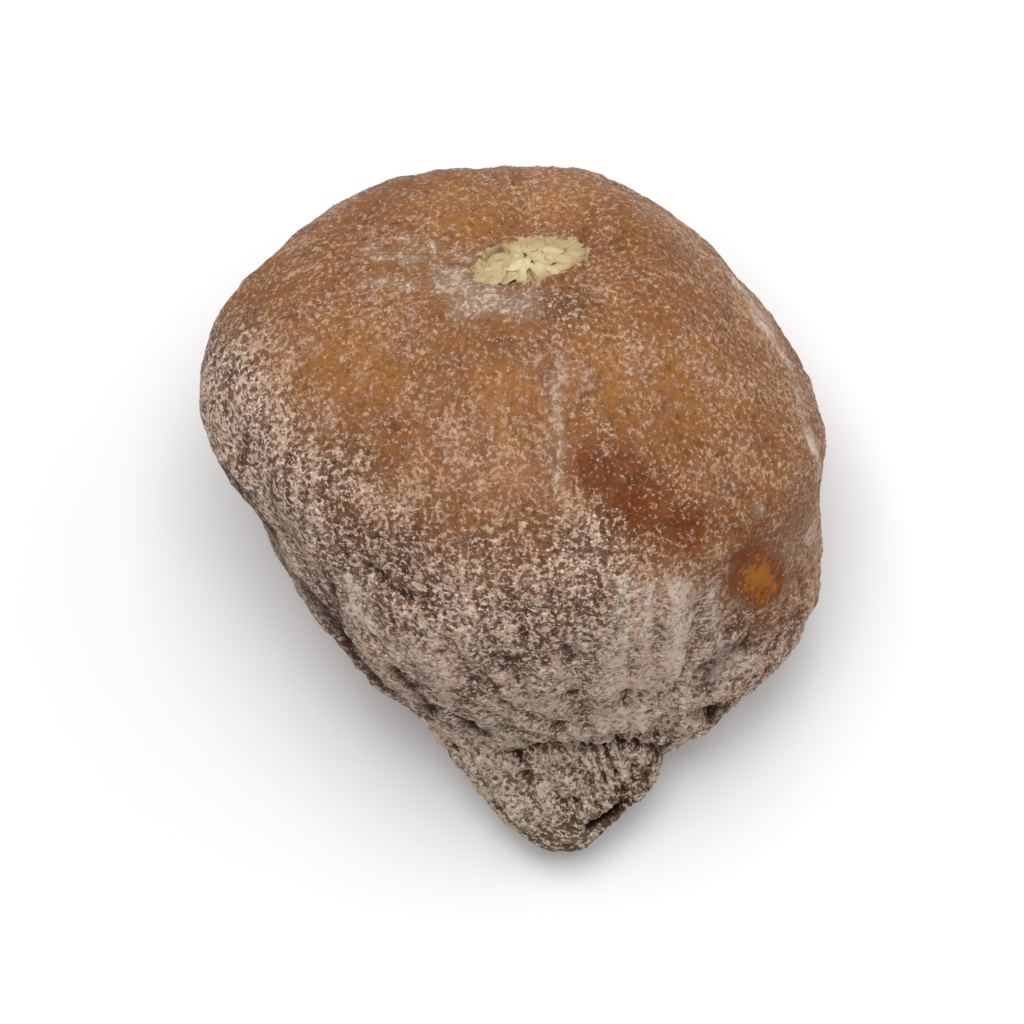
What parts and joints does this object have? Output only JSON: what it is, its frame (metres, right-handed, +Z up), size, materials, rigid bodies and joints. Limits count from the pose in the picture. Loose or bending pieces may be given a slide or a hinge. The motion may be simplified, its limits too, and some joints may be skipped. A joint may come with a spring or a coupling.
{
  "type": "dried fig",
  "caption": "Whole dried fig lying on its side, with a wrinkled skin, a fold over the neck, an open stem end and a scaly eye.",
  "frame": {"origin": "on the surface that the fruit rests on, under the middle of its outline from above", "axes": "+Y from the stem end towards the eye, +X to the right as seen from above with the eye at the top, +Z up"},
  "size_m": [0.033, 0.0364, 0.0261],
  "materials": {
    "skin": "dried fruit skin, orange brown to grey mauve, wrinkled, with a matt frosting of sugar"
  },
  "bodies": {
    "root": {"fig": "skin"}
  },
  "joints": []
}
